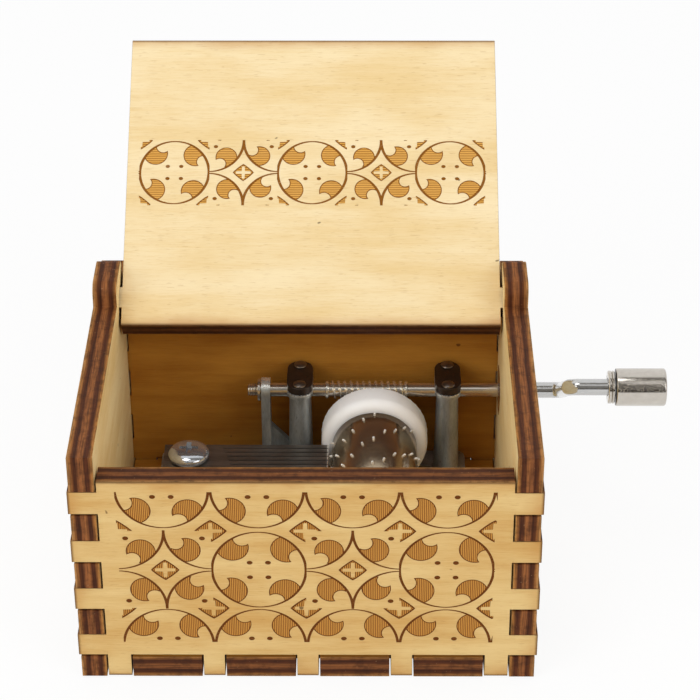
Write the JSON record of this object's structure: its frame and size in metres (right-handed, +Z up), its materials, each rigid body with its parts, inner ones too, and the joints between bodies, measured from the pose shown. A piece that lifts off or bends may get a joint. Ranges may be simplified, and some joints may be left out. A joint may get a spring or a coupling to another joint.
{
  "type": "music box",
  "caption": "Small hand-cranked music box: finger-jointed plywood case, hinged lid, pinned drum and comb movement turned by a bent crank through a worm and gear",
  "frame": {"origin": "centre of the case's underside", "axes": "+X to the crank's side (the right), +Y to the back, +Z up; the front with the engraved face looks along -Y; the lid is stored open on its stop"},
  "size_m": [0.0834, 0.0792, 0.0618],
  "materials": {
    "plywood": "laser-cut plywood with toasted edges",
    "pale_plywood": "laser-cut plywood, pale face",
    "cast_zinc": "as-cast grey, satin",
    "dark_steel": "blackened, glossy",
    "bright_steel": "bright",
    "chrome": "polished",
    "nylon": "satin white",
    "comb_steel": "dark hardened steel",
    "drum_steel": "smooth, bright"
  },
  "bodies": {
    "case": {"bottom_panel": "plywood", "front_panel": "plywood", "back_panel": "plywood", "left_side_panel": "plywood", "right_side_panel": "plywood", "bedplate": "cast_zinc", "bearing_cap_left": "dark_steel", "bearing_cap_right": "dark_steel", "cap_rivet_left_front": "dark_steel", "cap_rivet_left_rear": "dark_steel", "cap_rivet_right_front": "dark_steel", "cap_rivet_right_rear": "dark_steel", "comb": "comb_steel", "comb_screw_rear": "chrome", "comb_screw_front": "chrome", "base_screw_left": "bright_steel", "base_screw_middle": "bright_steel", "base_screw_right": "bright_steel"},
    "lid": {"lid": "pale_plywood"},
    "crank": {"crank_shaft": "bright_steel", "retaining_ring": "bright_steel", "crank_handle": "chrome", "knob_collar": "chrome"},
    "knob": {"knob": "chrome"},
    "drum": {"drive_gear": "nylon", "pinned_drum": "drum_steel", "drum_end_disc": "nylon", "drum_axle": "bright_steel"}
  },
  "joints": [
    {"name": "lid_hinge", "type": "hinge", "parent": "case", "child": "lid", "pos_m": [0, 0.0173, 0.03525], "axis": [1, 0, 0], "range_deg": [0, 144.2]},
    {"name": "crank_turn", "type": "hinge", "parent": "case", "child": "crank", "pos_m": [0, 0.018, 0.0193], "axis": [1, 0, 0], "continuous": true},
    {"name": "knob_spin", "type": "hinge", "parent": "crank", "child": "knob", "pos_m": [0.04425, 0.00486, 0.02843], "axis": [1, 0, 0], "continuous": true},
    {"name": "drum_turn", "type": "hinge", "parent": "case", "child": "drum", "pos_m": [0.0094, 0.002, 0.01305], "axis": [0, 1, 0], "continuous": true}
  ],
  "couplings": [
    {"joint": "drum_turn", "follows": "crank_turn", "ratio": -0.02381}
  ]
}
